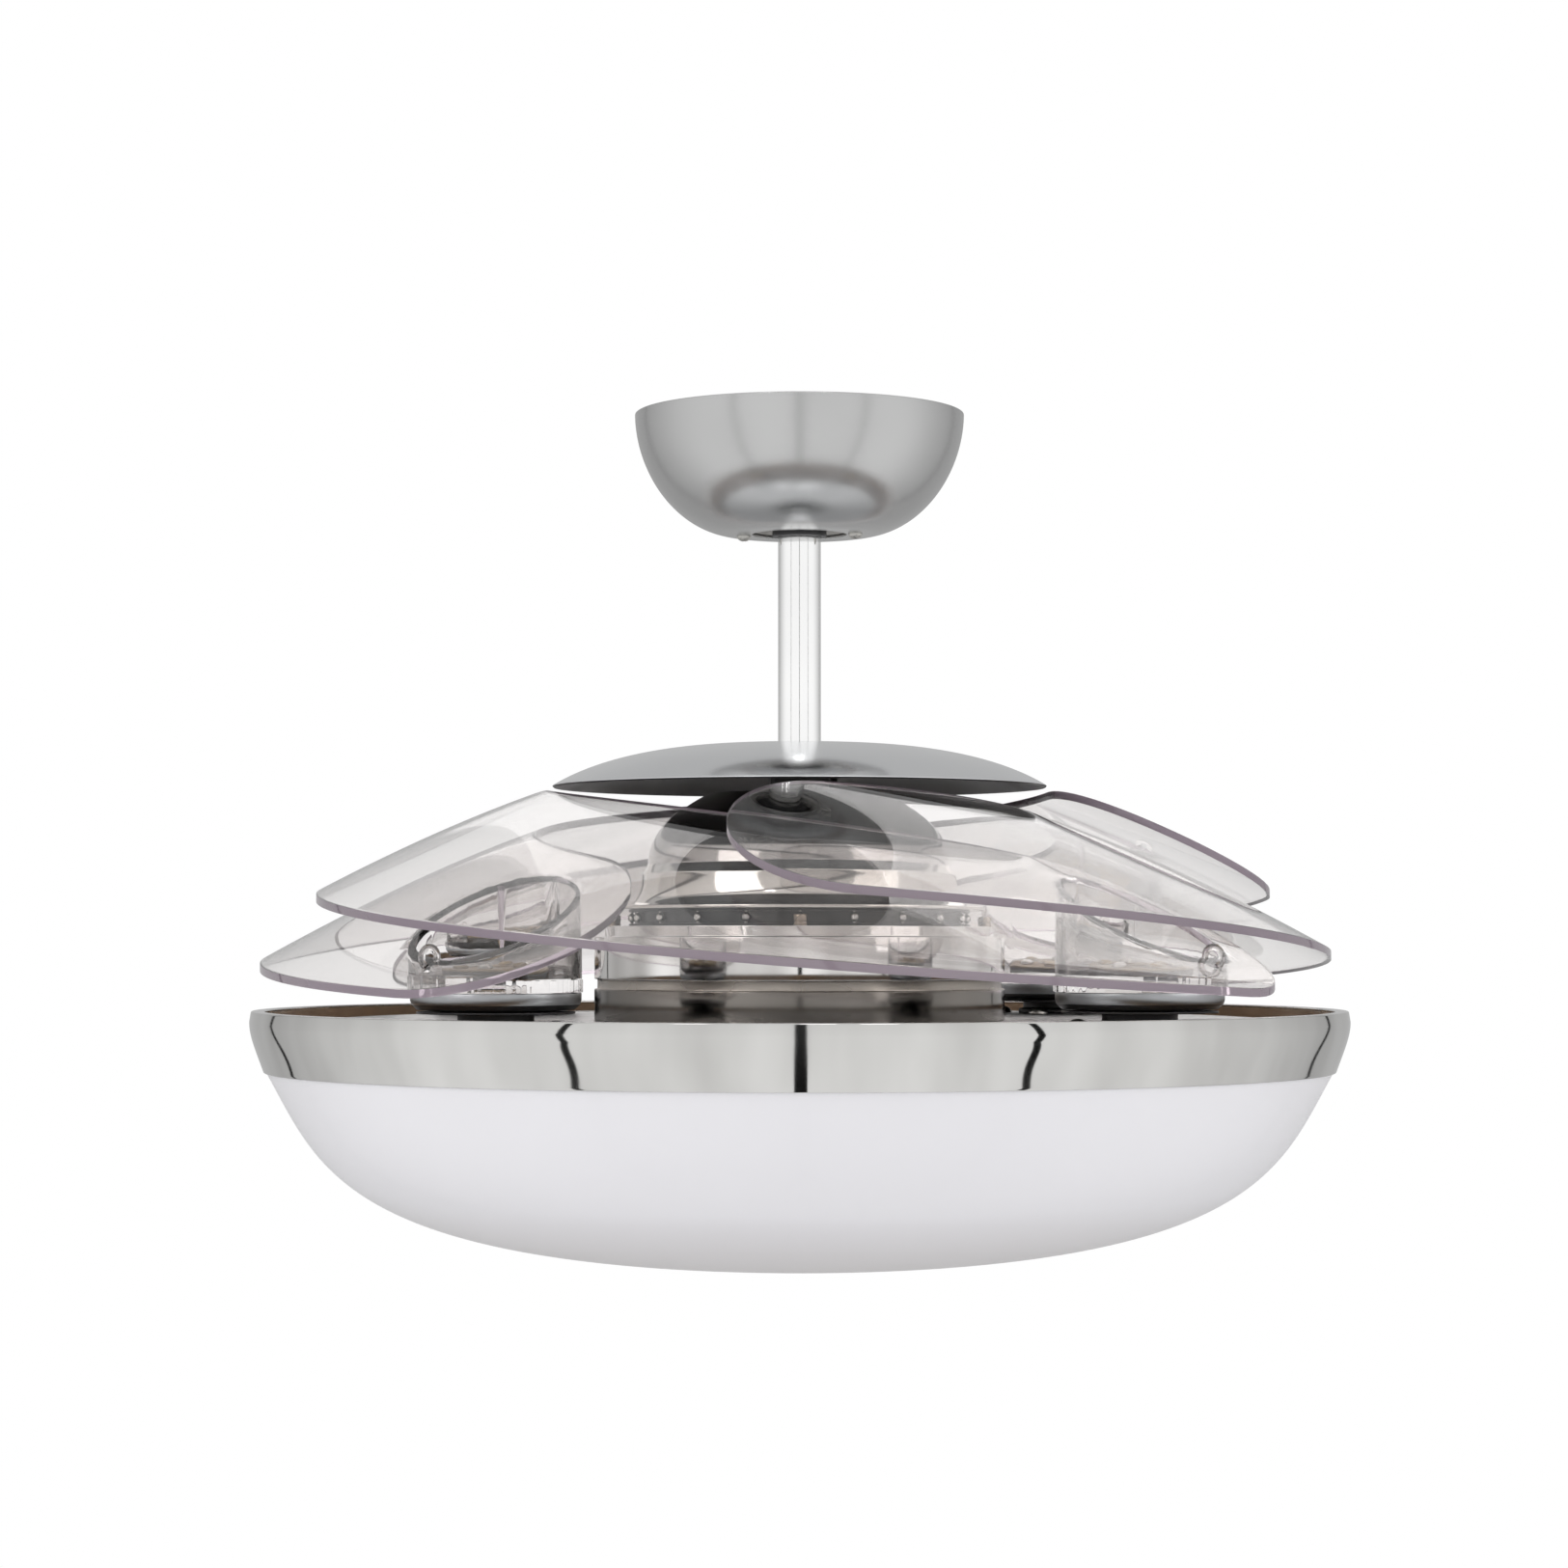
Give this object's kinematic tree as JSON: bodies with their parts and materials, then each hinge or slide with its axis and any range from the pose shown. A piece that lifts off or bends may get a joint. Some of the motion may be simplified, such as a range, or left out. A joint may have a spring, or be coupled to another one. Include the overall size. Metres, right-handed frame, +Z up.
{
  "type": "retractable blade ceiling fan",
  "caption": "Ceiling fan whose clear curved blades fold over a shallow opal light bowl and swing out together on geared pivots under a chrome motor bell.",
  "frame": {"origin": "centre of the hanger plate's top face, on the ceiling", "axes": "+Z up into the ceiling, along the downrod; -Y is the pictured front"},
  "size_m": [0.54, 0.54, 0.4212],
  "materials": {
    "chrome": "mirror polished",
    "satin_aluminium": "satin",
    "zinc_steel": "zinc plated",
    "dark_steel": "dark satin",
    "black_plastic": "satin black",
    "white_nylon": "moulded, matt",
    "clear_plastic": "clear, very light mauve edges",
    "beige_paint": "satin beige-brown",
    "opal": "satin opal white",
    "brass": "dull"
  },
  "bodies": {
    "ceiling": {"canopy": "chrome", "hanger_bracket": "zinc_steel", "canopy_screw_1": "zinc_steel", "canopy_screw_2": "zinc_steel"},
    "liner": {"ball_liner": "white_nylon"},
    "hanging_frame": {"hanger_ball": "black_plastic", "downrod": "chrome", "ball_pin": "zinc_steel", "yoke": "dark_steel", "yoke_bolt": "zinc_steel", "saucer_cover": "chrome", "motor_shaft": "zinc_steel", "stator": "dark_steel", "pan": "beige_paint", "pan_wall": "beige_paint", "shaft_nut": "zinc_steel", "rim_band": "chrome", "light_plate": "white_nylon", "bowl": "opal"},
    "rotor": {"bell": "chrome", "vent_ring": "dark_steel", "drum": "chrome", "upper_bearing": "zinc_steel", "lower_bearing": "zinc_steel", "carrier_plate": "satin_aluminium", "carrier_boss": "satin_aluminium", "gear_retainer": "zinc_steel", "housing_screw_1": "chrome", "housing_screw_2": "chrome", "housing_screw_3": "chrome", "housing_screw_4": "chrome", "pivot_post_1": "satin_aluminium", "pivot_post_2": "satin_aluminium", "pivot_post_3": "satin_aluminium", "pivot_post_4": "satin_aluminium"},
    "sync_gear": {"sun_gear": "white_nylon"},
    "blade_1_body": {"blade_1": "clear_plastic", "pivot_disc_1": "satin_aluminium", "clamp_plate_1": "brass", "planet_gear_1": "white_nylon"},
    "blade_2_body": {"blade_2": "clear_plastic", "pivot_disc_2": "satin_aluminium", "clamp_plate_2": "brass", "planet_gear_2": "white_nylon"},
    "blade_3_body": {"blade_3": "clear_plastic", "pivot_disc_3": "satin_aluminium", "clamp_plate_3": "brass", "planet_gear_3": "white_nylon"},
    "blade_4_body": {"blade_4": "clear_plastic", "pivot_disc_4": "satin_aluminium", "clamp_plate_4": "brass", "planet_gear_4": "white_nylon"}
  },
  "joints": [
    {"name": "hanger_tilt_x", "type": "hinge", "parent": "ceiling", "child": "liner", "pos_m": [0, 0, -0.038], "axis": [1, 0, 0], "range_deg": [-10, 10]},
    {"name": "hanger_tilt_y", "type": "hinge", "parent": "liner", "child": "hanging_frame", "pos_m": [0, 0, -0.038], "axis": [0, 1, 0], "range_deg": [-10, 10]},
    {"name": "rotor_spin", "type": "hinge", "parent": "hanging_frame", "child": "rotor", "pos_m": [0, 0, -0.28], "axis": [0, 0, 1], "continuous": true},
    {"name": "blade_1_fold", "type": "hinge", "parent": "rotor", "child": "blade_1_body", "pos_m": [0.13837, 0.1553, -0.285], "axis": [0, 0, 1], "range_deg": [0, 135], "stiffness_Nm_per_rad": 0.1, "springref_deg": -20.05},
    {"name": "blade_2_fold", "type": "hinge", "parent": "rotor", "child": "blade_2_body", "pos_m": [-0.1553, 0.13837, -0.285], "axis": [0, 0, 1], "range_deg": [0, 135], "stiffness_Nm_per_rad": 0.1, "springref_deg": -20.05},
    {"name": "blade_3_fold", "type": "hinge", "parent": "rotor", "child": "blade_3_body", "pos_m": [-0.13837, -0.1553, -0.285], "axis": [0, 0, 1], "range_deg": [0, 135], "stiffness_Nm_per_rad": 0.1, "springref_deg": -20.05},
    {"name": "blade_4_fold", "type": "hinge", "parent": "rotor", "child": "blade_4_body", "pos_m": [0.1553, -0.13837, -0.285], "axis": [0, 0, 1], "range_deg": [0, 135], "stiffness_Nm_per_rad": 0.1, "springref_deg": -20.05},
    {"name": "sync_gear_turn", "type": "hinge", "parent": "rotor", "child": "sync_gear", "pos_m": [0, 0, -0.3068], "axis": [0, 0, 1], "range_deg": [-17.7, 0]}
  ],
  "couplings": [
    {"joint": "blade_2_fold", "follows": "blade_1_fold", "ratio": 1},
    {"joint": "blade_3_fold", "follows": "blade_1_fold", "ratio": 1},
    {"joint": "blade_4_fold", "follows": "blade_1_fold", "ratio": 1},
    {"joint": "sync_gear_turn", "follows": "blade_1_fold", "ratio": -0.13043}
  ]
}
